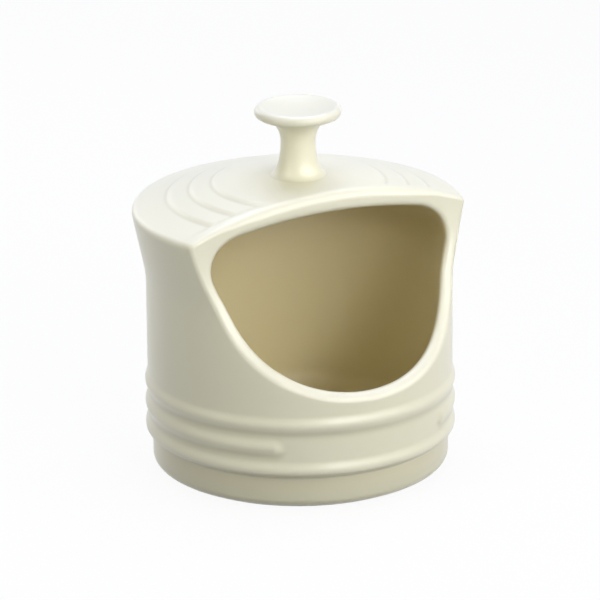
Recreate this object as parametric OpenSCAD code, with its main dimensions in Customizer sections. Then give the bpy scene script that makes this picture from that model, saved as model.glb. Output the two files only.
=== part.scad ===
// Salt crock in glazed stoneware: a banded drum that flares to a ringed, knobbed roof,
// with a scooped mouth in front for a hand or a spoon.
// Millimetres, +Z up. It stands on Z = 0 about the Z axis, and the mouth faces -Y.

/* [Drum] */
// Outer diameter of the flared rim, the widest part
rim_d = 114; // [110:0.5:122]
// Height of the seam at the rim, where the roof sits on the wall
rim_h = 90.2; // [86:0.2:98]
// Outer diameter of the straight part of the wall
wall_d = 105.4; // [102:0.2:108]
// Thickness of the wall
wall_t = 4.8; // [4.6:0.1:5.6]
// Height of the cone that flares out below the rim
flare_h = 21; // [14:1:30]
// Half height of the soft bend where the flare starts
flare_bend = 4; // [1:0.5:6]

/* [Foot] */
// How far the foot below the bands steps in from the wall
foot_step = 1.5; // [0.5:0.1:2.2]
// Height of the foot, up to the seam under the wall
foot_h = 11.3; // [10.5:0.1:11.5]
// Radius of the rounded bottom edge of the foot
foot_round = 3; // [1:0.25:3.5]
// Thickness of the floor
floor_t = 5; // [4:0.25:6.5]
// Radius of the round inner corner between floor and wall
floor_round = 8; // [6:0.5:10]
// How far the bare standing ring is set in from the foot's edge
ring_inset = 3.7; // [3.6:0.1:8]
// Width of the standing ring
ring_w = 4.5; // [3:0.25:8]
// How far the standing ring is proud of the glazed foot
ring_proud = 0.8; // [0.4:0.1:1.5]

/* [Bands] */
// Height of the lowest band's crest above the table
band_z = 14.6; // [14.5:0.1:16]
// Spacing of the three bands
band_pitch = 8; // [6.8:0.1:8.1]
// Height of one band
band_h = 6; // [4:0.1:6.2]
// How far a band is proud of the wall
band_proud = 0.9; // [0.4:0.1:1.4]
// Angle that the middle band leaves open in front
band_gap = 76; // [30:1:120]

/* [Roof] */
// Thickness of the roof
roof_t = 6.2; // [5:0.1:6.6]
// Rise of the roof from its edge to its crown, without the ring steps
roof_rise = 8; // [5:0.1:12]
// Radius of the rounded roof edge
edge_round = 2.2; // [1.3:0.1:2.4]
// Diameter of the outermost ring step
step_d = 89; // [80:0.5:96]
// Radial spacing of the three ring steps
step_pitch = 7.7; // [5:0.1:9]
// Height of one ring step
step_h = 0.8; // [0.3:0.05:1.2]
// Width over which a ring step rises
step_w = 2; // [1:0.1:3]
// Radius of the round inner corner between roof and wall
roof_round = 12.2; // [6:0.2:13]

/* [Mouth] */
// Radius of the scoop that opens the mouth
mouth_r = 64.5; // [63:0.1:65.2]
// Distance of the scoop's axis in front of the crock's axis
mouth_y = 86.7; // [86:0.1:90]
// Height of the scoop's axis
mouth_z = 93.6; // [93:0.1:96.5]
// Depth of the lip piece, from the mouth to its seam
lip_depth = 3.8; // [3.4:0.1:4.2]
// Radius of the lip's outer edge
lip_out_round = 1.1; // [0.6:0.1:1.1]
// Radius of the lip's inner edge
lip_in_round = 3.1; // [1:0.1:3.2]
// How far the lip is proud of the roof
lip_proud = 0.4; // [0:0.1:1]

/* [Knob] */
// Diameter of the knob's cap
knob_d = 29.8; // [24:0.1:36]
// Height of the knob above the crown of the roof
knob_h = 24.1; // [20:0.1:30]
// Diameter of the knob's waist
waist_d = 12; // [10:0.2:14]
// Height of the waist above the crown
waist_h = 11.6; // [9:0.1:14]
// Diameter of the knob's base on the roof
base_d = 20; // [18:0.5:26]
// Radius of the knob's rounded cap edge
cap_round = 1.9; // [1:0.1:2.2]
// Depth of the dish in the cap
dish_h = 1.6; // [0.5:0.1:2]

/* [Seams] */
// Width of the ledges that the pieces sit on inside the wall
ledge_w = 1.8; // [1.2:0.1:2]
// Radius of the knob's tenon
tenon_r = 6; // [4:0.25:7]
// Length of the knob's tenon
tenon_l = 2.4; // [1.5:0.1:2.8]
// Clearance that the slip fills in a seam
seam = 0.1; // [0.05:0.05:0.2]

/* [Hidden] */
$fn = 96;
glaze = "ivory";
bare_clay = "tan";
ARC_STEPS = 6;
DOME_STEPS = 12;
LIP_ARC_STEPS = 4;
LIP_WALL_STATIONS = 60;
LIP_ROOF_STATIONS = 36;
SEARCH_STEPS = 24;

rim_r = rim_d / 2;
wall_r = wall_d / 2;
in_r = wall_r - wall_t;
ledge_r = in_r + ledge_w;
foot_r = wall_r - foot_step;
knob_r = knob_d / 2;
waist_r = waist_d / 2;
base_r = base_d / 2;

// Foot: the floor stands clear of the table inside the bare ring.
ring_r = foot_r - ring_inset;
ring_in_r = ring_r - ring_w;
ring_seat = ring_proud + 1.5;
under_z = ring_seat;
floor_z = under_z + floor_t;
spigot_z = floor_z + floor_round;

// Bands: a circle's segment of the band's height and projection.
band_arc = (band_h * band_h / 4 + band_proud * band_proud) / (2 * band_proud);
band_sweep = asin(band_h / 2 / band_arc);
band_zs = [for (i = [0 : 2]) band_z + i * band_pitch];
band_sink = 1;
band_tuck = 0.04;

// Flare: straight wall, then a parabola over the soft bend, then a cone.
flare_z = rim_h - flare_h;
flare_slope = (rim_r - wall_r) / flare_h;
function wall_at(z) =
    z <= flare_z - flare_bend ? wall_r
    : z >= rim_h ? rim_r
    : z >= flare_z + flare_bend ? wall_r + flare_slope * (z - flare_z)
    : wall_r + flare_slope * pow(z - flare_z + flare_bend, 2) / (4 * flare_bend);
function slope_at(z) = flare_slope * max(0, min(1, (z - flare_z + flare_bend) / (2 * flare_bend)));
// The hollow follows the flare, so the wall is equally thick all the way up.
function hollow_at(z) = wall_at(z) - wall_t;

// Roof: a spherical cap from the rounded edge to the crown, plus three soft ring steps.
function cap_radius(edge, rise) = (edge * edge + rise * rise) / (2 * rise);
function cap_drop(r, radius) = radius - sqrt(radius * radius - r * r);
function soft_step(t) = t <= 0 ? 0 : t >= 1 ? 1 : t * t * (3 - 2 * t);
// The rounded edge leaves the flare and meets the cap without a corner.
flare_lean = atan(flare_slope);
edge_cx = rim_r - edge_round * cos(flare_lean);
edge_cz = rim_h + edge_round * sin(flare_lean);
edge_ball = cap_radius(edge_cx, roof_rise);
edge_lean = asin(edge_cx / edge_ball);
edge_x = edge_cx + edge_round * sin(edge_lean);
edge_z = edge_cz + edge_round * cos(edge_lean);
step_rs = [for (i = [0 : 2]) step_d / 2 - i * step_pitch];
function steps_at(r) = step_h * (
    soft_step((step_rs[0] - r) / step_w + 0.5)
    + soft_step((step_rs[1] - r) / step_w + 0.5)
    + soft_step((step_rs[2] - r) / step_w + 0.5));
function roof_at(r) = edge_z + cap_drop(edge_x, edge_ball) - cap_drop(r, edge_ball) + steps_at(r);
crown_z = roof_at(0);

// Inside: the roof's underside is a cap of the same radius that runs into the flared wall by a round corner.
// The corner's centre is roof_round away from both, and the seam is where the corner leaves the wall.
under_crown = crown_z - 1.5 * step_h - roof_t;
ball_z = under_crown - edge_ball;
cone_x = in_r - roof_round / cos(flare_lean);
cone_z = flare_z - ball_z;
cone_mid = cone_x * flare_slope + cone_z;
cone_len = 1 + flare_slope * flare_slope;
cone_end = cone_x * cone_x + cone_z * cone_z - pow(edge_ball - roof_round, 2);
cone_up = (sqrt(cone_mid * cone_mid - cone_len * cone_end) - cone_mid) / cone_len;
corner_x = cone_x + flare_slope * cone_up;
corner_z = flare_z + cone_up;
corner_lean = atan2(corner_x, corner_z - ball_z);
seat_z = corner_z - roof_round * sin(flare_lean);
seat_r = hollow_at(seat_z) + ledge_w;

// Lip: the smooth roof that the ring steps run out against.
lip_ball = cap_radius(edge_x, crown_z - edge_z);
function lip_roof_at(r) = edge_z + cap_drop(edge_x, lip_ball) - cap_drop(r, lip_ball) + lip_proud;

function arc(x, z, r, from, to, steps = ARC_STEPS) =
    [for (i = [0 : steps]) let (a = from + (to - from) * i / steps) [x + r * cos(a), z + r * sin(a)]];
// A quarter of an ellipse that leaves the vertical at its waist: across by w, up or down by h.
function cove(x, z, w, h, from, to, steps) =
    [for (i = [0 : steps]) let (a = from + (to - from) * i / steps) [x + w * (1 - cos(a)), z + h * sin(a)]];
function band_profile(z) = arc(wall_r + band_proud - band_arc, z, band_arc, -band_sweep, band_sweep);

module turned(section) {
    rotate_extrude() polygon(section);
}

// The scoop: a level cylinder across the front, grown by the depth of a seam behind the mouth.
module scoop(grow) {
    translate([0, -mouth_y, mouth_z])
        rotate([0, 90, 0])
            cylinder(r = mouth_r + grow, h = 2 * rim_d, center = true);
}

// Bare ring that the crock stands and was fired on.
module foot_ring() {
    chamfer = ring_proud / 2;
    color(bare_clay) turned([
        [ring_in_r + seam, ring_seat],
        [ring_in_r + seam, chamfer],
        [ring_in_r + seam + chamfer, 0],
        [ring_r - seam - chamfer, 0],
        [ring_r - seam, chamfer],
        [ring_r - seam, ring_seat]]);
}

// Foot and floor in one, with a groove for the standing ring and a spigot that the wall sits over.
module base() {
    color(glaze) turned(concat(
        [[0, floor_z], [0, under_z], [ring_r, under_z], [ring_r, ring_proud]],
        arc(foot_r - foot_round, ring_proud + foot_round, foot_round, -90, 0),
        [[foot_r, foot_h], [ledge_r - seam, foot_h], [ledge_r - seam, spigot_z]],
        arc(in_r - floor_round, spigot_z, floor_round, 0, -90)));
}

// The middle band stops short of the front on both sides, in round ends a touch lower than the band.
module middle_band() {
    z = band_zs[1];
    inner = wall_r - band_sink;
    end_top = wall_r + band_proud - band_tuck;
    end = concat(
        [[0, inner]],
        arc(0, end_top - band_arc, band_arc, 90, 90 - band_sweep, ARC_STEPS / 2),
        [[band_arc * sin(band_sweep), inner]]);
    rotate([0, 0, -90 + band_gap / 2])
        rotate_extrude(angle = 360 - band_gap)
            polygon(concat([[inner, z - band_h / 2]], band_profile(z), [[inner, z + band_h / 2]]));
    for (side = [-1, 1])
        rotate([0, 0, -90 + side * band_gap / 2])
            translate([0, 0, z])
                rotate([0, 90, 0])
                    turned(end);
}

// Banded, flared drum with a ledge at each end, cut away for the mouth and its lip.
module wall() {
    bend = [for (i = [0 : ARC_STEPS]) let (z = flare_z - flare_bend + 2 * flare_bend * i / ARC_STEPS) [wall_at(z), z]];
    color(glaze) difference() {
        union() {
            turned(concat(
                [[in_r, spigot_z], [ledge_r, spigot_z], [ledge_r, foot_h], [foot_r, foot_h]],
                band_profile(band_zs[0]),
                band_profile(band_zs[2]),
                bend,
                [[rim_r, rim_h], [seat_r, rim_h], [seat_r, seat_z], [hollow_at(seat_z), seat_z]],
                [for (i = [ARC_STEPS : -1 : 0]) [bend[i].x - wall_t, bend[i].y]]));
            middle_band();
        }
        scoop(lip_depth);
    }
}

// Domed roof with ring steps, a socket for the knob and a flange that drops onto the wall's ledge.
module roof() {
    crown = [for (i = [1 : DOME_STEPS]) let (r = tenon_r + (step_rs[2] - step_w - tenon_r) * i / DOME_STEPS) r];
    color(glaze) difference() {
        turned(concat(
            [[0, crown_z - tenon_l], [tenon_r, crown_z - tenon_l], [tenon_r, roof_at(tenon_r)]],
            [for (r = crown) [r, roof_at(r)]],
            [for (i = [len(step_rs) - 1 : -1 : 0], j = [0 : ARC_STEPS])
                let (r = step_rs[i] + step_w * (j / ARC_STEPS - 0.5)) [r, roof_at(r)]],
            arc(edge_cx, edge_cz, edge_round, 90 - edge_lean, -flare_lean),
            [[seat_r - seam, rim_h], [seat_r - seam, seat_z]],
            arc(corner_x, corner_z, roof_round, -flare_lean, 90 - corner_lean),
            [for (i = [DOME_STEPS - 1 : -1 : 0])
                let (a = corner_lean * i / DOME_STEPS) [edge_ball * sin(a), ball_z + edge_ball * cos(a)]]));
        scoop(lip_depth);
    }
}

// Turned knob: a dished cap on a waisted stem, with a tenon in the roof's socket.
module knob() {
    top = crown_z + knob_h;
    waist_z = crown_z + waist_h;
    base_z = roof_at(base_r);
    cap_z = top - 2 * cap_round;
    cap_x = knob_r - cap_round;
    dish_r = cap_x;
    dish_ball = cap_radius(dish_r, dish_h);
    dish_a = asin(dish_r / dish_ball);
    color(glaze) turned(concat(
        [[0, crown_z - tenon_l], [tenon_r - seam, crown_z - tenon_l], [tenon_r - seam, roof_at(tenon_r)]],
        [[(tenon_r + base_r) / 2, roof_at((tenon_r + base_r) / 2)]],
        cove(waist_r, waist_z, base_r - waist_r, waist_z - base_z, -90, 0, DOME_STEPS),
        cove(waist_r, waist_z, cap_x - waist_r, cap_z - waist_z, 90 / DOME_STEPS, 90, DOME_STEPS - 1),
        arc(cap_x, cap_z + cap_round, cap_round, -90, 90, 2 * ARC_STEPS),
        [for (i = [DOME_STEPS - 1 : -1 : 0])
            let (a = dish_a * i / DOME_STEPS) [dish_ball * sin(a), top - dish_h + dish_ball * (1 - cos(a))]]));
}

// Points on the scoop are counted in its unrolled face: across by X, and along by the arc from lip_mid.
lip_mid = 30;
function on_scoop(grow, x, along) =
    let (radius = mouth_r + grow, a = lip_mid + along / radius * 180 / PI)
    [x, -mouth_y + radius * cos(a), mouth_z - radius * sin(a)];
function in_outside(p, inset) =
    let (r = norm([p.x, p.y]))
    r < wall_at(p.z) - inset
    && p.z < lip_roof_at(min(r, rim_r)) - inset
    && (r < edge_cx || p.z < edge_cz || norm([r - edge_cx, p.z - edge_cz]) < edge_round - inset);
function in_hollow(p, inset) =
    let (r = norm([p.x, p.y]), x = r - corner_x, z = p.z - corner_z)
    z * cos(flare_lean) + x * sin(flare_lean) < 0 ? r < hollow_at(p.z) + inset * norm([1, slope_at(p.z)])
    : r < (p.z - ball_z) * tan(corner_lean) ? norm([r, p.z - ball_z]) < edge_ball + inset
    : norm([x, z]) < roof_round + inset;
// Distance from lip_mid, along one direction on the scoop, at which the outside or the hollow ends.
function edge_along(grow, inset, hollow, turn, near, far, n = SEARCH_STEPS) =
    let (
        middle = (near + far) / 2,
        p = on_scoop(grow, middle * cos(turn), middle * sin(turn)),
        inside = hollow ? in_hollow(p, inset) : in_outside(p, inset)
    )
    n == 0 ? p
    : inside ? edge_along(grow, inset, hollow, turn, middle, far, n - 1)
    : edge_along(grow, inset, hollow, turn, near, middle, n - 1);
// Direction of the corner where rim, wall and mouth meet.
function corner_turn(grow) =
    let (
        radius = mouth_r + grow,
        a = -asin((lip_roof_at(rim_r) - mouth_z) / radius),
        y = mouth_y - radius * cos(a),
        x = sqrt(rim_r * rim_r - y * y)
    )
    atan2((a - lip_mid) * PI / 180 * radius, x);
function station_turn(grow, k) =
    let (c = corner_turn(grow))
    k <= LIP_WALL_STATIONS
    ? c + (180 - 2 * c) * k / LIP_WALL_STATIONS
    : 180 - c + (180 + 2 * c) * (k - LIP_WALL_STATIONS) / LIP_ROOF_STATIONS;
// Section of the lip from its outer seam over the rounded edges to its inner seam: depth, inset, side.
lip_section = concat(
    [[lip_depth, 0, false]],
    [for (i = [0 : LIP_ARC_STEPS]) let (a = 90 * i / LIP_ARC_STEPS)
        [lip_out_round * (1 - sin(a)), lip_out_round * (1 - cos(a)), false]],
    [for (i = [LIP_ARC_STEPS : -1 : 0]) let (a = 90 * i / LIP_ARC_STEPS)
        [lip_in_round * (1 - sin(a)), lip_in_round * (1 - cos(a)), true]],
    [[lip_depth, 0, true]]);

// Rolled lip lofted round the mouth on the cut edges of wall and roof.
module mouth_lip() {
    stations = LIP_WALL_STATIONS + LIP_ROOF_STATIONS;
    n = len(lip_section);
    points = [for (k = [0 : stations - 1], s = lip_section)
        edge_along(s[0], s[1], s[2], station_turn(s[0], k), 0, rim_d)];
    faces = [for (k = [0 : stations - 1], i = [0 : n - 1])
        let (a = k * n, b = (k + 1) % stations * n, j = (i + 1) % n)
        each [[a + i, b + i, b + j], [a + i, b + j, a + j]]];
    color(glaze) polyhedron(points, faces, convexity = 6);
}

foot_ring();
base();
wall();
mouth_lip();
roof();
knob();
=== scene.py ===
# %% [markdown]
# # A salt crock in glazed stoneware
# This lesson dresses a solid model of a salt crock: a banded drum, a flared rim, a ringed roof
# with a knob, and a scooped mouth.
# The solid model is loaded first and is the fixed frame. Every piece below is made in that same frame,
# so nothing has to be fitted.

# %% Load the frame
import math

import bmesh
import bpy
import numpy as np
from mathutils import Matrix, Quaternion, Vector


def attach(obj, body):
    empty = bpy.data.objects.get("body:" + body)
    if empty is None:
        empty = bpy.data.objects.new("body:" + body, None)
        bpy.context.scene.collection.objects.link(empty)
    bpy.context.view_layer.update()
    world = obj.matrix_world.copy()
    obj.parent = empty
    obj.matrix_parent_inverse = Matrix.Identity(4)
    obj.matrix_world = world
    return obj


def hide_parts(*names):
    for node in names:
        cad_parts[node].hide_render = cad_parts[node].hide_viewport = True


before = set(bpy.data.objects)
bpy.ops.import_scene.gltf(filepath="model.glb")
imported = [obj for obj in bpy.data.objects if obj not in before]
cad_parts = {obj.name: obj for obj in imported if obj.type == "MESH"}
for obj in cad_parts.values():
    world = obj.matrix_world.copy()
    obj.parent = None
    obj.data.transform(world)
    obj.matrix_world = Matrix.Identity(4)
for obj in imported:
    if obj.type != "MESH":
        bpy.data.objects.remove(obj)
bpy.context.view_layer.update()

scene = bpy.context.scene
scene.view_settings.view_transform = "Standard"
print("nodes of the frame:", sorted(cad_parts))

# %% [markdown]
# ## The camera
# A product photo like this one is taken from far off with a long lens, so the crock's upright lines
# stay nearly parallel.
# The camera stands to the left of the mouth, a little above the rim. The lens and the distance come
# from how fast the ellipses of rim and foot open.

# %% Place the camera
VIEW_TURN = math.radians(-28.0)
VIEW_RISE = math.radians(19.28)
VIEW_ROLL = math.radians(-0.51)
VIEW_DISTANCE = 1.66
VIEW_CENTRE = Vector((0.00043, 0.00041, 0.05732))
VIEW_LENS, SENSOR_WIDTH = 289.3, 36.0

back = Vector((
    math.sin(VIEW_TURN) * math.cos(VIEW_RISE),
    -math.cos(VIEW_TURN) * math.cos(VIEW_RISE),
    math.sin(VIEW_RISE),
))
camera = bpy.data.objects.new("camera", bpy.data.cameras.new("camera"))
camera.data.lens = VIEW_LENS
camera.data.sensor_width = SENSOR_WIDTH
camera.location = VIEW_CENTRE + back * VIEW_DISTANCE
camera.rotation_euler = (back.to_track_quat("Z", "Y") @ Quaternion((0, 0, 1), VIEW_ROLL)).to_euler()
scene.collection.objects.link(camera)
scene.camera = camera
print("camera at", [round(c, 3) for c in camera.location])

# %% [markdown]
# ## The crock's measures
# A potter works from a short list of measures, and so does this script. They are in millimetres,
# from the turning axis or from the table.
# Each turned shape below is a line drawn from these numbers, so a change here changes every piece
# that it touches.

# %% Measures in millimetres
MM = 0.001
RIM_R, RIM_H = 57.0, 90.2
WALL_R, WALL_T = 52.7, 4.8
IN_R = WALL_R - WALL_T
FLARE_Z, FLARE_BEND = 69.2, 4.0
FOOT_R, FOOT_H, FOOT_ROUND = 51.2, 11.3, 3.0
RING_R, RING_IN_R, RING_PROUD, RING_SEAT = 47.5, 43.0, 0.8, 2.3
FLOOR_Z, FLOOR_ROUND = 7.3, 8.0
SPIGOT_Z = FLOOR_Z + FLOOR_ROUND
LEDGE_W, SEAM = 1.8, 0.1
LEDGE_R = IN_R + LEDGE_W
BAND_ZS, BAND_H, BAND_PROUD, BAND_GAP = (14.6, 22.6, 30.6), 6.0, 0.9, math.radians(76)
ROOF_RISE, ROOF_T, EDGE_ROUND, ROOF_ROUND = 8.0, 6.2, 2.2, 12.2
STEP_RS, STEP_H, STEP_W = (44.5, 36.8, 29.1), 0.8, 2.0
MOUTH_R, MOUTH_Y, MOUTH_Z = 64.5, 86.7, 93.6
LIP_DEPTH, LIP_OUT, LIP_IN, LIP_PROUD = 3.8, 1.1, 3.1, 0.4
KNOB_R, KNOB_H, WAIST_R, WAIST_H, KNOB_BASE_R = 14.9, 24.1, 6.0, 11.6, 10.0
CAP_ROUND, DISH_H, TENON_R, TENON_L = 1.9, 1.6, 6.0, 2.4
print("rim", 2 * RIM_R, "mm across, rim seam", RIM_H, "mm high")

# %% [markdown]
# ## Lines that are turned
# The wall is straight, bends softly and flares as a cone. The roof is a shallow cap of a large ball
# with three soft steps.
# Both are plain functions of height or radius, so the lip can later ask where the surface is at any point.

# %% The wall's line
FLARE_SLOPE = (RIM_R - WALL_R) / (RIM_H - FLARE_Z)
FLARE_LEAN = math.atan(FLARE_SLOPE)


def wall_at(z):
    bend = WALL_R + FLARE_SLOPE * np.clip(z - FLARE_Z + FLARE_BEND, 0, None) ** 2 / (4 * FLARE_BEND)
    cone = WALL_R + FLARE_SLOPE * (z - FLARE_Z)
    return np.minimum(np.where(z >= FLARE_Z + FLARE_BEND, cone, bend), RIM_R)


def slope_at(z):
    return FLARE_SLOPE * np.clip((z - FLARE_Z + FLARE_BEND) / (2 * FLARE_BEND), 0, 1)


print("flare leans out by", round(math.degrees(FLARE_LEAN), 1), "degrees")

# %% The roof's line
def soft_step(t):
    t = np.clip(t, 0, 1)
    return t * t * (3 - 2 * t)


def ball_radius(edge, rise):
    return (edge * edge + rise * rise) / (2 * rise)


def ball_drop(r, radius):
    return radius - np.sqrt(radius * radius - np.minimum(r, RIM_R) ** 2)


EDGE_CX = RIM_R - EDGE_ROUND * math.cos(FLARE_LEAN)
EDGE_CZ = RIM_H + EDGE_ROUND * math.sin(FLARE_LEAN)
ROOF_BALL = ball_radius(EDGE_CX, ROOF_RISE)
EDGE_LEAN = math.asin(EDGE_CX / ROOF_BALL)
EDGE_X = EDGE_CX + EDGE_ROUND * math.sin(EDGE_LEAN)
EDGE_Z = EDGE_CZ + EDGE_ROUND * math.cos(EDGE_LEAN)


def roof_at(r):
    rise = sum(STEP_H * soft_step((s - r) / STEP_W + 0.5) for s in STEP_RS)
    return EDGE_Z + ball_drop(EDGE_X, ROOF_BALL) - ball_drop(r, ROOF_BALL) + rise


CROWN_Z = float(roof_at(0.0))
print("crown of the roof at", round(CROWN_Z, 2), "mm, knob top at", round(CROWN_Z + KNOB_H, 2), "mm")

# %% The border's line along the mouth
LIP_BALL = ball_radius(EDGE_X, CROWN_Z - EDGE_Z)
BORDER_SINK_R, BORDER_SINK_W = 46.0, 9.0


def border_at(r):
    proud = LIP_PROUD * (1 - soft_step((r - BORDER_SINK_R) / BORDER_SINK_W))
    return EDGE_Z + ball_drop(EDGE_X, LIP_BALL) - ball_drop(r, LIP_BALL) + proud


print("border at the crown", round(float(border_at(0.0)), 2), "mm high")

# %% The hollow's corner under the roof
UNDER_CROWN = CROWN_Z - len(STEP_RS) / 2 * STEP_H - ROOF_T
BALL_Z = UNDER_CROWN - ROOF_BALL
cone_x, cone_z = IN_R - ROOF_ROUND / math.cos(FLARE_LEAN), FLARE_Z - BALL_Z
cone_mid, cone_len = cone_x * FLARE_SLOPE + cone_z, 1 + FLARE_SLOPE ** 2
cone_end = cone_x ** 2 + cone_z ** 2 - (ROOF_BALL - ROOF_ROUND) ** 2
cone_up = (math.sqrt(cone_mid ** 2 - cone_len * cone_end) - cone_mid) / cone_len
CORNER_X, CORNER_Z = cone_x + FLARE_SLOPE * cone_up, FLARE_Z + cone_up
CORNER_LEAN = math.atan2(CORNER_X, CORNER_Z - BALL_Z)
SEAT_Z = CORNER_Z - ROOF_ROUND * math.sin(FLARE_LEAN)
SEAT_IN_R = float(wall_at(SEAT_Z)) - WALL_T
SEAT_R = SEAT_IN_R + LEDGE_W
print("roof sits on the wall's ledge at", round(SEAT_Z, 2), "mm")

# %% [markdown]
# ## From a line to a turned piece
# Blender's Screw modifier could spin a line, but a plain loop over rings keeps the order of the
# points known.
# That order is needed when a ring of points has to be pushed in or out afterwards. Each piece is
# a closed skin, smooth except at true edges.

# %% Helpers for lines
def arc(x, z, radius, start, stop, steps):
    return [(x + radius * math.cos(a), z + radius * math.sin(a)) for a in np.linspace(start, stop, steps + 1)]


def straight(first, last, spacing):
    steps = max(1, round(math.dist(first, last) / spacing))
    return [tuple(np.array(first) + (np.array(last) - np.array(first)) * i / steps) for i in range(1, steps)]


SHOWN_SPACING, HIDDEN_SPACING = 0.8, 2.0
print("points along a straight line every", SHOWN_SPACING, "mm, or", HIDDEN_SPACING, "mm where little shows")

# %% Helpers for meshes
WELD = 0.005 * MM
QUAD_CORNERS = 4
SHARP_ANGLE = math.radians(35)


def finish_mesh(mesh):
    skin = bmesh.new()
    skin.from_mesh(mesh)
    bmesh.ops.remove_doubles(skin, verts=skin.verts, dist=WELD)
    bmesh.ops.triangulate(skin, faces=[f for f in skin.faces if len(f.verts) > QUAD_CORNERS])
    bmesh.ops.recalc_face_normals(skin, faces=skin.faces)
    skin.to_mesh(mesh)
    skin.free()
    mesh.shade_smooth()
    mesh.set_sharp_from_angle(angle=SHARP_ANGLE)


def new_piece(name, points, faces):
    mesh = bpy.data.meshes.new(name)
    mesh.from_pydata((np.asarray(points) * MM).tolist(), [], faces)
    finish_mesh(mesh)
    piece = bpy.data.objects.new(name, mesh)
    scene.collection.objects.link(piece)
    return piece


print("edges sharper than", round(math.degrees(SHARP_ANGLE)), "degrees stay crisp")

# %% Helpers for turned pieces
COLUMNS = 360
ON_AXIS = 1e-6


def turned_points(section, columns):
    turns = np.arange(columns) * 2 * math.pi / columns - math.pi / 2
    points, rings = [], []
    for r, z in section:
        first = len(points)
        if r < ON_AXIS:
            points.append((0.0, 0.0, z))
        else:
            points += [(r * math.cos(t), r * math.sin(t), z) for t in turns]
        rings.append(range(first, len(points)))
    faces = []
    for one, two in zip(rings, rings[1:] + rings[:1]):
        if len(one) == 1 and len(two) == 1:
            continue
        for j in range(columns):
            k = (j + 1) % columns
            if len(one) == 1:
                faces.append((one[0], two[k], two[j]))
            elif len(two) == 1:
                faces.append((one[j], one[k], two[0]))
            else:
                faces.append((one[j], one[k], two[k], two[j]))
    return np.array(points), faces


def turned(name, section, columns=COLUMNS):
    points, faces = turned_points(section, columns)
    piece = new_piece(name, points, faces)
    print(name, "turned from", len(section), "points,", len(faces), "faces")
    return piece


print("a ring at the rim has a point every", round(2 * math.pi * RIM_R / COLUMNS, 2), "mm")

# %% [markdown]
# ## The standing ring
# The crock was fired standing on a bare ring, because glaze would stick to the kiln shelf.
# It is a small ring with worn corners, and it is the only place where the clay itself shows.
# A bevelled tube would do, but a turned line keeps its worn corners to the measure.

# %% Make the standing ring
RING_WORN, RING_STEPS = 0.35, 5
ring_inside, ring_outside = RING_IN_R + SEAM, RING_R - SEAM
standing_ring = turned("standing_ring", (
    [(ring_inside, RING_SEAT)]
    + arc(ring_inside + RING_WORN, RING_WORN, RING_WORN, math.pi, 1.5 * math.pi, RING_STEPS)
    + straight((ring_inside + RING_WORN, 0), (ring_outside - RING_WORN, 0), SHOWN_SPACING)
    + arc(ring_outside - RING_WORN, RING_WORN, RING_WORN, -0.5 * math.pi, 0, RING_STEPS)
    + [(ring_outside, RING_SEAT)]
))

# %% [markdown]
# ## The foot and the floor
# The foot and the floor are one shallow dish. Outside it has a soft round edge where the glaze ends,
# inside a round corner that a finger can clean.
# The wall sits over the spigot that stands up around the floor, so that seam is hidden under the glaze.
# The whole dish is turned from one line, which keeps its inside and its outside in step.

# %% Make the base
FOOT_STEPS, FLOOR_STEPS = 12, 14
base_dish = turned("base_dish", (
    [(0, FLOOR_Z), (0, RING_SEAT)]
    + straight((0, RING_SEAT), (RING_R, RING_SEAT), HIDDEN_SPACING)
    + [(RING_R, RING_SEAT), (RING_R, RING_PROUD)]
    + arc(FOOT_R - FOOT_ROUND, RING_PROUD + FOOT_ROUND, FOOT_ROUND, -0.5 * math.pi, 0, FOOT_STEPS)
    + straight((FOOT_R, RING_PROUD + FOOT_ROUND), (FOOT_R, FOOT_H), SHOWN_SPACING)
    + [(FOOT_R, FOOT_H), (LEDGE_R - SEAM, FOOT_H), (LEDGE_R - SEAM, SPIGOT_Z)]
    + arc(IN_R - FLOOR_ROUND, SPIGOT_Z, FLOOR_ROUND, 0, -0.5 * math.pi, FLOOR_STEPS)
    + straight((IN_R - FLOOR_ROUND, FLOOR_Z), (0, FLOOR_Z), HIDDEN_SPACING)
))

# %% [markdown]
# ## The scoop
# The mouth is one clean cut: a level cylinder across the front takes away wall and roof together.
# A Boolean modifier makes the same cut here. The cutter is far finer than the pieces, so the cut edge
# stays a smooth curve.

# %% Helper for the scoop
CUTTER_SIDES = 900


def scooped(piece, grow):
    turns = np.linspace(0, 2 * math.pi, CUTTER_SIDES, endpoint=False)
    radius = MOUTH_R + grow
    points = [
        (x, -MOUTH_Y + radius * math.cos(t), MOUTH_Z + radius * math.sin(t))
        for x in (-2 * RIM_R, 2 * RIM_R) for t in turns
    ]
    n = CUTTER_SIDES
    faces = [(j, (j + 1) % n, n + (j + 1) % n, n + j) for j in range(n)]
    faces += [tuple(range(n)), tuple(range(2 * n - 1, n - 1, -1))]
    cutter = new_piece("cutter", points, faces)
    cut = piece.modifiers.new("scoop", "BOOLEAN")
    cut.operation, cut.solver, cut.object = "DIFFERENCE", "EXACT", cutter
    done = bpy.data.meshes.new_from_object(piece.evaluated_get(bpy.context.evaluated_depsgraph_get()))
    piece.modifiers.clear()
    whole, piece.data = piece.data, done
    done.name = piece.name
    bpy.data.meshes.remove(whole)
    bpy.data.meshes.remove(cutter.data)
    finish_mesh(piece.data)
    print(piece.name, "scooped,", len(piece.data.polygons), "faces")


front_z = MOUTH_Z - math.sqrt(MOUTH_R ** 2 - (MOUTH_Y - WALL_R) ** 2)
print("scoop meets the front of the wall", round(front_z, 1), "mm above the table")

# %% [markdown]
# ## The wall and its bands
# Three raised bands run round the drum. Under a thick glaze they have no sharp foot: one cosine wave
# is the section of each. The lowest runs down into the foot in a soft cove.
# The two outer bands are in the turned line. The middle one stops short of the front, so it is pushed
# out of the turned wall before the scoop is cut: each point moves by its distance from the band's
# centre line, which also gives the round ends.

# %% The bands' section
BAND_REACH, FOOT_COVE = 3.6, 2.4


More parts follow.
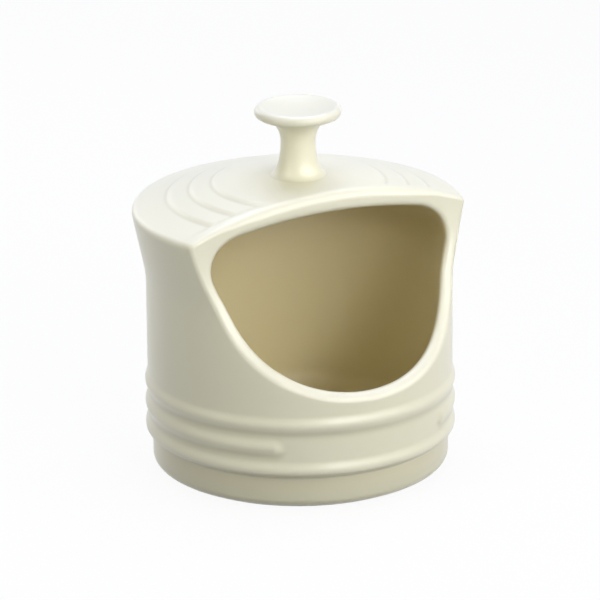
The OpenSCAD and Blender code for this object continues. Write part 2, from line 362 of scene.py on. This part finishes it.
def band(off):
    share = np.minimum(np.abs(off) / BAND_REACH, 1)
    return 0.5 * BAND_PROUD * (1 + np.cos(math.pi * share))


def middle_band_off(x, y, z):
    turn = np.abs(np.arctan2(x, -y))
    beyond = np.maximum(BAND_GAP / 2 - turn, 0) * WALL_R
    return np.hypot(beyond, z - BAND_ZS[1])


print("middle band leaves", round(BAND_GAP * WALL_R, 1), "mm free in front")

# %% Make the wall
BANDED_TOP, BANDED_SPACING = 36.0, 0.35
PLAIN_RINGS, HOLLOW_RINGS = 46, 44

banded_zs = np.arange(FOOT_H, BANDED_TOP, BANDED_SPACING)
outer_zs = np.concatenate([banded_zs, np.linspace(BANDED_TOP, RIM_H, PLAIN_RINGS)])
above_cove = soft_step((outer_zs - FOOT_H) / FOOT_COVE)
outer_rs = (
    wall_at(outer_zs)
    - (WALL_R - FOOT_R) * (1 - above_cove)
    + band(outer_zs - BAND_ZS[0]) * above_cove
    + band(outer_zs - BAND_ZS[2])
)
outer_line = list(zip(outer_rs.tolist(), outer_zs.tolist()))
wall_points, wall_faces = turned_points(
    outer_line
    + [(SEAT_R, RIM_H), (SEAT_R, SEAT_Z)]
    + [(float(wall_at(z)) - WALL_T, z) for z in np.linspace(SEAT_Z, SPIGOT_Z, HOLLOW_RINGS)]
    + [(LEDGE_R, SPIGOT_Z), (LEDGE_R, FOOT_H)],
    COLUMNS,
)
skin_count = len(outer_line) * COLUMNS
x, y, z = wall_points[:skin_count].T
push = 1 + band(middle_band_off(x, y, z)) / np.hypot(x, y)
wall_points[:skin_count, 0] = x * push
wall_points[:skin_count, 1] = y * push
drum_wall = new_piece("drum_wall", wall_points, wall_faces)
scooped(drum_wall, LIP_DEPTH)

# %% [markdown]
# ## The roof
# The roof is a shallow dome with three rings, like ripples. Along the mouth the rings run out against
# a plain raised border.
# The dome is turned with its rings first. Then every point near the cut is moved to the height of the
# border, and the rings fade out there by themselves.

# %% Make the roof
ROOF_RINGS, EDGE_STEPS, CORNER_STEPS, DOME_RINGS = 112, 9, 16, 24
BORDER_REACH = 2.6

roof_rs = np.linspace(TENON_R, EDGE_X, ROOF_RINGS)
roof_line = list(zip(roof_rs.tolist(), roof_at(roof_rs).tolist()))
under_leans = np.linspace(CORNER_LEAN, 0, DOME_RINGS)[1:]
roof_points, roof_faces = turned_points(
    [(0, CROWN_Z - TENON_L), (TENON_R, CROWN_Z - TENON_L)]
    + roof_line
    + arc(EDGE_CX, EDGE_CZ, EDGE_ROUND, 0.5 * math.pi - EDGE_LEAN, -FLARE_LEAN, EDGE_STEPS)[1:]
    + [(SEAT_R - SEAM, RIM_H), (SEAT_R - SEAM, SEAT_Z)]
    + arc(CORNER_X, CORNER_Z, ROOF_ROUND, -FLARE_LEAN, 0.5 * math.pi - CORNER_LEAN, CORNER_STEPS)
    + [(ROOF_BALL * math.sin(a), BALL_Z + ROOF_BALL * math.cos(a)) for a in under_leans],
    COLUMNS,
)
first = 1 + COLUMNS
last = first + len(roof_line) * COLUMNS
x, y, z = roof_points[first:last].T
behind = np.hypot(y + MOUTH_Y, z - MOUTH_Z) - (MOUTH_R + LIP_DEPTH)
near = 1 - soft_step(behind / BORDER_REACH)
roof_points[first:last, 2] = z + (border_at(np.hypot(x, y)) - z) * near
ringed_roof = new_piece("ringed_roof", roof_points, roof_faces)
scooped(ringed_roof, LIP_DEPTH)

# %% [markdown]
# ## The lip of the mouth
# The lip is the crock's best feature: a crisp outer edge that gets rounder along the roof, and a wide
# roll inside that a hand slides over.
# A bevel along the cut edge is the quick way, but it has one width all round, so the lip is lofted.
# The scoop is unrolled flat, and from its middle rays go out in all directions.
# Along each ray a search by halves finds where the outside ends and where the hollow ends.
# The section of the lip is built between the two.

# %% Where the outside and the hollow are
LIP_MID = math.radians(30)


def on_scoop(grow, across, along):
    radius = MOUTH_R + grow
    a = LIP_MID + along / radius
    return np.stack([across, -MOUTH_Y + radius * np.cos(a), MOUTH_Z - radius * np.sin(a)], axis=-1)


def in_outside(p, inset):
    r, z = np.hypot(p[..., 0], p[..., 1]), p[..., 2]
    rounded = (r < EDGE_CX) | (z < EDGE_CZ) | (np.hypot(r - EDGE_CX, z - EDGE_CZ) < EDGE_ROUND - inset)
    return (r < wall_at(z) - inset) & (z < border_at(r) - inset) & rounded


def hollow_gap(p):
    r, z = np.hypot(p[..., 0], p[..., 1]), p[..., 2]
    to_wall = (r - wall_at(z) + WALL_T) / np.hypot(1, slope_at(z))
    to_ball = np.hypot(r, z - BALL_Z) - ROOF_BALL
    to_corner = np.hypot(r - CORNER_X, z - CORNER_Z) - ROOF_ROUND
    by_wall = (z - CORNER_Z) * math.cos(FLARE_LEAN) + (r - CORNER_X) * math.sin(FLARE_LEAN) < 0
    by_ball = r < (z - BALL_Z) * math.tan(CORNER_LEAN)
    return np.where(by_wall, to_wall, np.where(by_ball, to_ball, to_corner))


def in_hollow(p, inset):
    return hollow_gap(p) < inset


print("middle of the unrolled scoop at", np.round(on_scoop(0, 0.0, 0.0), 1).tolist(), "mm")

# %% Search along the rays
HALVINGS = 40
WALL_RAYS, ROOF_RAYS = 300, 180


def edge_along(inside, grow, inset, turns):
    near, far = np.zeros_like(turns), np.full_like(turns, 2 * RIM_R)
    for _ in range(HALVINGS):
        middle = (near + far) / 2
        held = inside(on_scoop(grow, middle * np.cos(turns), middle * np.sin(turns)), inset)
        near, far = np.where(held, middle, near), np.where(held, far, middle)
    return on_scoop(grow, near * np.cos(turns), near * np.sin(turns))


def corner_turn(grow):
    radius = MOUTH_R + grow
    a = -math.asin((EDGE_CZ - MOUTH_Z) / radius)
    y = MOUTH_Y - radius * math.cos(a)
    return math.atan2((a - LIP_MID) * radius, math.sqrt(RIM_R ** 2 - y * y))


def rays(grow):
    c = corner_turn(grow)
    return np.concatenate([
        np.linspace(c, math.pi - c, WALL_RAYS, endpoint=False),
        np.linspace(math.pi - c, 2 * math.pi + c, ROOF_RAYS, endpoint=False),
    ])


print("corner of the mouth at", round(math.degrees(corner_turn(0)), 1), "degrees on the unrolled scoop")

# %% Lines along the lip
ROOF_EDGE_ROUND, ROUND_SPREAD = 3.3, 0.5
FACE_LINES, OUTER_LINES, INNER_LINES = 7, 11, 15
BRIDGE_SHARES = (0.25, 0.5, 0.75)


def outer_round(turns):
    c = corner_turn(0)
    from_corner = np.where(turns > math.pi - c, np.minimum(turns - math.pi + c, 2 * math.pi + c - turns), 0)
    return LIP_OUT + (ROOF_EDGE_ROUND - LIP_OUT) * soft_step(from_corner / ROUND_SPREAD)


def face_line(t):
    depth = LIP_DEPTH + (outer_round(rays(LIP_DEPTH)) - LIP_DEPTH) * t
    return edge_along(in_outside, depth, 0, rays(LIP_DEPTH + (LIP_OUT - LIP_DEPTH) * t))


def outer_edge(depth, inset):
    turns = rays(LIP_OUT * depth)
    size = outer_round(turns)
    return edge_along(in_outside, size * depth, size * inset, turns)


def inner_edge(grow, inset):
    return edge_along(in_hollow, grow, inset, rays(grow))


lip_lines = [face_line(t) for t in np.linspace(0, 1, FACE_LINES)[:-1]]
outer_turns = np.linspace(0, 0.5 * math.pi, OUTER_LINES)
lip_lines += [outer_edge(1 - math.sin(a), 1 - math.cos(a)) for a in outer_turns]
inner_lines = [
    inner_edge(LIP_IN * (1 - math.sin(a)), LIP_IN * (1 - math.cos(a)))
    for a in np.linspace(0.5 * math.pi, 0, INNER_LINES)
]
lip_lines += [lip_lines[-1] + (inner_lines[0] - lip_lines[-1]) * t for t in BRIDGE_SHARES]
lip_lines += inner_lines
lip_lines.append(inner_edge(LIP_DEPTH, 0))
count, deep = len(lip_lines[0]), len(lip_lines)
print("lip lofted through", count, "sections of", deep, "points")

# %% Make the lip
lip_faces = []
for i in range(deep):
    here, after = i * count, (i + 1) % deep * count
    for k in range(count):
        m = (k + 1) % count
        lip_faces.append((here + k, here + m, after + m, after + k))
mouth_lip = new_piece("rolled_lip", np.concatenate(lip_lines), lip_faces)
print(mouth_lip.name, "has", len(mouth_lip.data.polygons), "faces")

# %% [markdown]
# ## The knob
# The knob is turned too: a waisted stem that spreads into the roof, and a dished cap with a round edge
# for thumb and finger.
# Two quarter ellipses draw the stem. They leave the waist upright and run level into the cap and
# into the roof.

# %% Make the knob
KNOB_COLUMNS, STEM_STEPS, CAP_STEPS, DISH_RINGS = 180, 26, 16, 26


def cove(across, height, start, stop):
    waist_z = CROWN_Z + WAIST_H
    return [
        (WAIST_R + across * (1 - math.cos(a)), waist_z + height * math.sin(a))
        for a in np.linspace(start, stop, STEM_STEPS + 1)
    ]


knob_top = CROWN_Z + KNOB_H
cap_x, cap_z = KNOB_R - CAP_ROUND, knob_top - CAP_ROUND
dish_ball = ball_radius(cap_x, DISH_H)
dish_lean = math.asin(cap_x / dish_ball)
seat_z = float(roof_at(KNOB_BASE_R))
finger_knob = turned("finger_knob", (
    [(0, CROWN_Z - TENON_L), (TENON_R - SEAM, CROWN_Z - TENON_L), (TENON_R - SEAM, float(roof_at(TENON_R)))]
    + cove(KNOB_BASE_R - WAIST_R, CROWN_Z + WAIST_H - seat_z, -0.5 * math.pi, 0)
    + cove(cap_x - WAIST_R, cap_z - CAP_ROUND - CROWN_Z - WAIST_H, 0, 0.5 * math.pi)[1:]
    + arc(cap_x, cap_z, CAP_ROUND, -0.5 * math.pi, 0.5 * math.pi, CAP_STEPS)[1:]
    + [
        (dish_ball * math.sin(a), knob_top - DISH_H + dish_ball * (1 - math.cos(a)))
        for a in np.linspace(dish_lean, 0, DISH_RINGS)[1:]
    ]
), columns=KNOB_COLUMNS)

# %% [markdown]
# ## Painted highlights and painted shade
# Crests and edges are painted a shade lighter as painted highlight. The foot, the underside of each
# band, the foot of each roof ring and the knob's seat are painted a shade deeper as painted shade.
# The script knows where its own edges are, so it stores one number per point: above zero for painted
# highlight, below zero for painted shade.
# A second number marks the hollow, which is painted a darker honey tone as painted shade.

# %% Helpers for the painted highlight and shade
# Painted shade in the hollow: where the darker honey tone starts and how deep it reaches.
SHADE_LEAD, SHADE_SPREAD = 1.2, 3.2
SHADE_DEPTH, SHADE_FADE = 2.4, 1.2
FLOOR_SLACK = 0.5


def behind_mouth(y, z):
    return np.hypot(y + MOUTH_Y, z - MOUTH_Z) - MOUTH_R


def store(piece, label, values):
    layer = piece.data.attributes.new(label, "FLOAT", "POINT")
    layer.data.foreach_set("value", values)
    print(piece.name, label, "from", round(values.min(), 2), "to", round(values.max(), 2))


def store_painted_light_and_shade(piece, light_and_shade):
    spots = np.empty(len(piece.data.vertices) * 3)
    piece.data.vertices.foreach_get("co", spots)
    spots = spots.reshape(-1, 3) / MM
    x, y, z = spots.T
    # Painted highlight above zero, painted shade below zero.
    store(piece, "painted_light_and_shade", np.asarray(light_and_shade(x, y, z, np.hypot(x, y)), dtype=float) * np.ones(len(x)))
    # Painted shade in the hollow: a mask over the hollow's face, from the mouth's edge inward.
    gap = hollow_gap(spots)
    round_the_edge = soft_step((behind_mouth(y, z) - gap + SHADE_LEAD) / SHADE_SPREAD)
    above_floor = z > FLOOR_Z - FLOOR_SLACK
    in_depth = 1 - soft_step((gap - SHADE_DEPTH) / SHADE_FADE)
    store(piece, "hollow_painted_shade", round_the_edge * in_depth * above_floor)


def bump_at(value, centre, width):
    return np.exp(-((value - centre) / width) ** 2)


print("poured glaze ends", SHADE_DEPTH, "mm outside the hollow's face")

# %% Painted highlight and shade on base and wall
OUTER_BANDS = (BAND_ZS[0], BAND_ZS[2])
BAND_BLUR, RIM_BLUR, FOOT_BLUR = 1.3, 1.2, 1.5
BAND_HIGHLIGHT, BAND_UNDER_SHADE, UNDER_SHADE_FADE = 0.4, 0.6, 2
FOOT_SHADE, FOOT_TOP_SHADE, FOOT_SKIN, FOOT_SLACK = 0.55, 0.15, 4, 0.1
WALL_SKIN, RIM_LIFT = 1.5, 0.5


# Painted shade: the foot is painted darker, most just under the lowest band.
def painted_light_on_base(x, y, z, r):
    foot_darkening = FOOT_SHADE + FOOT_TOP_SHADE * bump_at(z, FOOT_H, FOOT_BLUR)
    return -foot_darkening * (r > FOOT_R - FOOT_SKIN) * (z < FOOT_H + FOOT_SLACK)


# Painted highlight on the bands' crests and at the rim, painted shade on each band's underside.
def painted_light_on_wall(x, y, z, r):
    outside = r > IN_R + WALL_SKIN
    off = middle_band_off(x, y, z)
    crests = sum(bump_at(z, c, BAND_BLUR) for c in OUTER_BANDS) + bump_at(off, 0, BAND_BLUR)
    under = sum(bump_at(c - z, BAND_H / 2, BAND_BLUR) for c in OUTER_BANDS)
    under = under + bump_at(off, BAND_H / 2, BAND_BLUR) * soft_step((BAND_ZS[1] - z) / UNDER_SHADE_FADE)
    rim = bump_at(z, RIM_H + RIM_LIFT, RIM_BLUR)
    return outside * (BAND_HIGHLIGHT * crests - BAND_UNDER_SHADE * np.minimum(under, 1) + rim)


store_painted_light_and_shade(base_dish, painted_light_on_base)
store_painted_light_and_shade(drum_wall, painted_light_on_wall)

# %% Painted highlight and shade on roof, knob and lip
RING_BLUR, RING_HALF, RING_HIGHLIGHT, RING_FOOT_SHADE = 0.6, 0.9, 0.6, 0.5
CAP_BLUR, CAP_SKIN, SEAT_SHADE, SEAT_BLUR = 0.5, 1, 0.3, 1.2
LIP_HIGHLIGHT, LIP_CREST, LIP_BLUR = 0.8, 0.3, 0.8
ROOF_SKIN = 1


# Painted highlight on the rings' crests and at the roof's edge, painted shade at the foot of each ring.
def painted_light_on_roof(x, y, z, r):
    top = z > BALL_Z + np.sqrt(np.maximum(ROOF_BALL ** 2 - r * r, 0)) + ROOF_SKIN
    shown = soft_step((behind_mouth(y, z) - LIP_DEPTH) / BORDER_REACH)
    crests = sum(bump_at(r, s - RING_HALF, RING_BLUR) for s in STEP_RS)
    feet = sum(bump_at(r, s + RING_HALF, RING_BLUR) for s in STEP_RS)
    return top * (shown * (RING_HIGHLIGHT * crests - RING_FOOT_SHADE * feet) + bump_at(r, RIM_R, RIM_BLUR))


# Painted highlight on the cap's round edge, painted shade where the knob meets the roof.
def painted_light_on_knob(x, y, z, r):
    cap_edge = bump_at(np.hypot(r - cap_x, z - cap_z), CAP_ROUND, CAP_BLUR) * (r > cap_x - CAP_SKIN)
    return cap_edge - SEAT_SHADE * bump_at(z, seat_z, SEAT_BLUR)


# Painted highlight on the lip's face at the mouth.
def painted_light_on_lip(x, y, z, r):
    return LIP_HIGHLIGHT * bump_at(behind_mouth(y, z), LIP_CREST, LIP_BLUR)


store_painted_light_and_shade(ringed_roof, painted_light_on_roof)
store_painted_light_and_shade(finger_knob, painted_light_on_knob)
store_painted_light_and_shade(mouth_lip, painted_light_on_lip)

# %% [markdown]
# ## Shared effects
# Two effects are used by both finishes, so each is a node group with named sockets.
# The first mixes two tones in slow clouds, as kiln heat does. The second gives a fine uneven skin
# as a height, for the Bump node of the material.

# %% Build the group of kiln tones
def new_group(name, inputs, output):
    group = bpy.data.node_groups.new(name, "ShaderNodeTree")
    for label, kind, value in inputs:
        group.interface.new_socket(label, in_out="INPUT", socket_type=kind).default_value = value
    group.interface.new_socket(output[0], in_out="OUTPUT", socket_type=output[1])
    return group, group.nodes.new("NodeGroupInput"), group.nodes.new("NodeGroupOutput")


kiln_tone, given, put = new_group("Kiln tone", [
    ("Tone", "NodeSocketColor", (0.8, 0.8, 0.8, 1)),
    ("Other Tone", "NodeSocketColor", (0.7, 0.7, 0.7, 1)),
    ("Scale", "NodeSocketFloat", 30.0),
    ("Amount", "NodeSocketFloat", 0.5),
], ("Tone", "NodeSocketColor"))
place = kiln_tone.nodes.new("ShaderNodeTexCoord")
clouds = kiln_tone.nodes.new("ShaderNodeTexNoise")
clouds.inputs["Detail"].default_value = 1.0
part_of = kiln_tone.nodes.new("ShaderNodeMath")
part_of.operation = "MULTIPLY"
blend_tones = kiln_tone.nodes.new("ShaderNodeMix")
blend_tones.data_type = "RGBA"
links = kiln_tone.links
links.new(place.outputs["Object"], clouds.inputs["Vector"])
links.new(given.outputs["Scale"], clouds.inputs["Scale"])
links.new(clouds.outputs["Fac"], part_of.inputs[0])
links.new(given.outputs["Amount"], part_of.inputs[1])
links.new(part_of.outputs[0], blend_tones.inputs["Factor"])
links.new(given.outputs["Tone"], blend_tones.inputs["A"])
links.new(given.outputs["Other Tone"], blend_tones.inputs["B"])
links.new(blend_tones.outputs["Result"], put.inputs["Tone"])
print(kiln_tone.name, "has", len(kiln_tone.nodes), "nodes")

# %% Build the group of the uneven skin
uneven_skin, given, put = new_group("Uneven skin", [
    ("Wide Scale", "NodeSocketFloat", 120.0),
    ("Fine Scale", "NodeSocketFloat", 900.0),
    ("Fine Share", "NodeSocketFloat", 0.3),
], ("Height", "NodeSocketFloat"))
place = uneven_skin.nodes.new("ShaderNodeTexCoord")
wide = uneven_skin.nodes.new("ShaderNodeTexNoise")
fine = uneven_skin.nodes.new("ShaderNodeTexNoise")
share = uneven_skin.nodes.new("ShaderNodeMath")
share.operation = "MULTIPLY_ADD"
links = uneven_skin.links
links.new(place.outputs["Object"], wide.inputs["Vector"])
links.new(place.outputs["Object"], fine.inputs["Vector"])
links.new(given.outputs["Wide Scale"], wide.inputs["Scale"])
links.new(given.outputs["Fine Scale"], fine.inputs["Scale"])
links.new(fine.outputs["Fac"], share.inputs[0])
links.new(given.outputs["Fine Share"], share.inputs[1])
links.new(wide.outputs["Fac"], share.inputs[2])
links.new(share.outputs[0], put.inputs["Height"])
print(uneven_skin.name, "has", len(uneven_skin.nodes), "nodes")

# %% [markdown]
# ## The ivory glaze
# The glaze is an ivory white with a soft sheen. Its colour drifts slightly, is painted lighter on crests as
# painted highlight, deeper under the bands, at the foot and at the rings' feet as painted shade, and a darker
# honey in the hollow as painted shade.
# A broad coat over the base stands for the glassy surface. A very low bump keeps reflections from being
# machine perfect.

# %% Helpers for materials
def new_material(name):
    material = bpy.data.materials.new(name)
    material.use_nodes = True
    tree = material.node_tree
    return material, tree.nodes, tree.links, tree.nodes["Principled BSDF"]


def dialled(node, **values):
    for label, value in values.items():
        node.inputs[label.replace("_", " ")].default_value = value
    return node


def placed(nodes, group, **values):
    node = nodes.new("ShaderNodeGroup")
    node.node_tree = group
    return dialled(node, **values)


def stored(nodes, label):
    node = nodes.new("ShaderNodeAttribute")
    node.attribute_name = label
    return node


def tinted(nodes, tint):
    node = nodes.new("ShaderNodeMix")
    node.data_type = "RGBA"
    return dialled(node, B=tint)


print("node groups to place:", [g.name for g in bpy.data.node_groups])

# %% Make the ivory glaze
ivory, nodes, links, shader = new_material("ivory_glaze")
tone = placed(
    nodes, kiln_tone,
    Tone=(0.845, 0.82, 0.63, 1), Other_Tone=(0.82, 0.79, 0.595, 1), Scale=14.0, Amount=0.8,
)
light_and_shade = stored(nodes, "painted_light_and_shade")
# Painted highlight lightens the tone where the number is above zero, painted shade darkens it below zero.
highlight_share = dialled(nodes.new("ShaderNodeMapRange"), From_Max=1.0, To_Max=0.5)
shade_share = dialled(nodes.new("ShaderNodeMapRange"), From_Max=-1.0, To_Max=0.9)
painted_highlight = tinted(nodes, (0.87, 0.845, 0.68, 1))
painted_shade_tone = tinted(nodes, (0.58, 0.545, 0.37, 1))
# Painted shade in the hollow: a darker honey tone mixed in by its mask.
shaded = stored(nodes, "hollow_painted_shade")
hollow_shade_tone = tinted(nodes, (0.745, 0.66, 0.405, 1))
skin = placed(nodes, uneven_skin, Wide_Scale=70.0, Fine_Scale=300.0, Fine_Share=0.05)
bump = dialled(nodes.new("ShaderNodeBump"), Strength=0.05, Distance=0.0005)
gloss = dialled(nodes.new("ShaderNodeMapRange"), To_Min=0.3, To_Max=0.4)
dialled(shader, Coat_Weight=1.0, Coat_Roughness=0.45, IOR=1.5)
links.new(light_and_shade.outputs["Fac"], highlight_share.inputs["Value"])
links.new(light_and_shade.outputs["Fac"], shade_share.inputs["Value"])
links.new(highlight_share.outputs["Result"], painted_highlight.inputs["Factor"])
links.new(shade_share.outputs["Result"], painted_shade_tone.inputs["Factor"])
links.new(tone.outputs["Tone"], painted_highlight.inputs["A"])
links.new(painted_highlight.outputs["Result"], painted_shade_tone.inputs["A"])
links.new(painted_shade_tone.outputs["Result"], hollow_shade_tone.inputs["A"])
links.new(shaded.outputs["Fac"], hollow_shade_tone.inputs["Factor"])
links.new(hollow_shade_tone.outputs["Result"], shader.inputs["Base Color"])
links.new(skin.outputs["Height"], bump.inputs["Height"])
links.new(bump.outputs["Normal"], shader.inputs["Normal"])
links.new(skin.outputs["Height"], gloss.inputs["Value"])
links.new(gloss.outputs["Result"], shader.inputs["Roughness"])
print(ivory.name, "has", len(nodes), "nodes")

# %% [markdown]
# ## The bare clay
# The standing ring shows fired clay: tan, dry and a little sandy, with darker patches.
# It takes the same two groups with other values, and no coat.

# %% Make the bare clay
clay, nodes, links, shader = new_material("bare_clay")
tone = placed(
    nodes, kiln_tone,
    Tone=(0.58, 0.47, 0.33, 1), Other_Tone=(0.40, 0.31, 0.21, 1), Scale=160.0, Amount=0.9,
)
skin = placed(nodes, uneven_skin, Wide_Scale=700.0, Fine_Scale=2600.0, Fine_Share=0.8)
bump = dialled(nodes.new("ShaderNodeBump"), Strength=0.5, Distance=0.0003)
dry = dialled(nodes.new("ShaderNodeMapRange"), To_Min=0.75, To_Max=0.95)
links.new(tone.outputs["Tone"], shader.inputs["Base Color"])
links.new(skin.outputs["Height"], bump.inputs["Height"])
links.new(bump.outputs["Normal"], shader.inputs["Normal"])
links.new(skin.outputs["Height"], dry.inputs["Value"])
links.new(dry.outputs["Result"], shader.inputs["Roughness"])
print(clay.name, "has", len(nodes), "nodes")

# %% [markdown]
# ## Put the pieces in their places
# Nothing on a crock moves, so all pieces ride on the one body. Each stands for the solid of the same piece.

# %% Ride, replace, finish
dressed = (
    (standing_ring, "foot_ring", "bare_clay", clay),
    (base_dish, "base", "ivory_glaze", ivory),
    (drum_wall, "wall", "ivory_glaze", ivory),
    (mouth_lip, "mouth_lip", "ivory_glaze", ivory),
    (ringed_roof, "roof", "ivory_glaze", ivory),
    (finger_knob, "knob", "ivory_glaze", ivory),
)
for piece, node, slot, material in dressed:
    piece.data.materials.clear()
    piece.data.materials.append(material)
    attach(piece, "root")
    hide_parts(node)
print("pieces:", len(dressed))

# %% [markdown]
# ## Floor, light and background
# The crock stands on a white ground. A large cool light overhead whitens the roof, and two smaller ones
# in front, on the right, model the bands and the lip.
# A narrow weak beam reaches into the mouth. A small card on the left and a lamp behind keep those sides
# from going dull.
# The floor and the world look white to the camera and to reflections, but light the crock only at
# a plain level. Places are in metres and power is in watts.

# %% Helper for a white ground
WHITE = (1, 1, 1, 1)


def white_to_camera(tree, shader_out, share, strength, target):
    nodes, links = tree.nodes, tree.links
    path = nodes.new("ShaderNodeLightPath")
    seen = nodes.new("ShaderNodeMath")
    seen.operation = "MAXIMUM"
    seen_any = nodes.new("ShaderNodeMath")
    seen_any.operation = "MAXIMUM"
    part = nodes.new("ShaderNodeMath")
    part.operation = "MULTIPLY"
    part.inputs[1].default_value = share
    kind = "ShaderNodeEmission" if target.name.startswith("Material") else "ShaderNodeBackground"
    white = dialled(nodes.new(kind), Color=WHITE, Strength=strength)
    mix = nodes.new("ShaderNodeMixShader")
    links.new(path.outputs["Is Camera Ray"], seen.inputs[0])
    links.new(path.outputs["Is Glossy Ray"], seen.inputs[1])
    links.new(seen.outputs[0], seen_any.inputs[0])
    links.new(path.outputs["Is Transmission Ray"], seen_any.inputs[1])
    links.new(seen_any.outputs[0], part.inputs[0])
    links.new(part.outputs[0], mix.inputs["Fac"])
    links.new(shader_out, mix.inputs[1])
    links.new(white.outputs[0], mix.inputs[2])
    links.new(mix.outputs[0], target.inputs["Surface"])
    print(target.name, "shows white with strength", strength)


# %% Make the floor
FLOOR_DROP, FLOOR_REACH = -0.1 * MM, 6
FLOOR_SHARE, FLOOR_WHITE = 0.65, 1.42

floor_mesh = bpy.data.meshes.new("floor")
corners = [(x * FLOOR_REACH, y * FLOOR_REACH, FLOOR_DROP) for x, y in ((-1, -1), (1, -1), (1, 1), (-1, 1))]
floor_mesh.from_pydata(corners, [], [(0, 1, 2, 3)])
floor = bpy.data.objects.new("floor", floor_mesh)
scene.collection.objects.link(floor)
pale, nodes, links, shader = new_material("pale_floor")
dialled(shader, Base_Color=(0.16, 0.16, 0.157, 1), Roughness=0.9)
white_to_camera(pale.node_tree, shader.outputs["BSDF"], FLOOR_SHARE, FLOOR_WHITE, nodes["Material Output"])
floor_mesh.materials.append(pale)
print("floor laid", 2 * FLOOR_REACH, "m wide")

# %% Set the lights
def soft_light(name, place, size, power, colour=(1.0, 1.0, 1.0), aim=0.06, beam=180):
    lamp = bpy.data.lights.new(name, "AREA")
    lamp.shape, lamp.size, lamp.energy, lamp.color = "DISK", size, power, colour
    lamp.spread = math.radians(beam)
    holder = bpy.data.objects.new(name, lamp)
    holder.location = place
    holder.visible_camera = False
    holder.rotation_euler = (Vector(place) - Vector((0, 0, aim))).to_track_quat("Z", "Y").to_euler()
    scene.collection.objects.link(holder)


soft_light("top_light", (0.15, 0.25, 0.9), size=0.8, power=5.6, colour=(0.61, 0.67, 0.97))
soft_light("key_light", (0.16, -0.42, 0.27), size=0.3, power=0.69)
soft_light("right_light", (0.5, -0.45, 0.36), size=0.3, power=1.05)
soft_light("mouth_light", (0.0, -0.66, 0.34), size=0.3, power=0.07, aim=0.085, beam=28)
soft_light("left_card", (-0.34, -0.06, 0.28), size=0.2, power=0.36, colour=(1.0, 0.98, 0.88))
soft_light("back_light", (-0.12, 0.6, 0.3), size=0.4, power=0.5)

# %% Set the world
WORLD_SHARE, WORLD_WHITE = 1.0, 1.0

world = bpy.data.worlds.new("studio")
scene.world = world
world.use_nodes = True
world_nodes = world.node_tree.nodes
studio = dialled(world_nodes["Background"], Color=WHITE, Strength=0.18)
white_to_camera(world.node_tree, studio.outputs[0], WORLD_SHARE, WORLD_WHITE, world_nodes["World Output"])
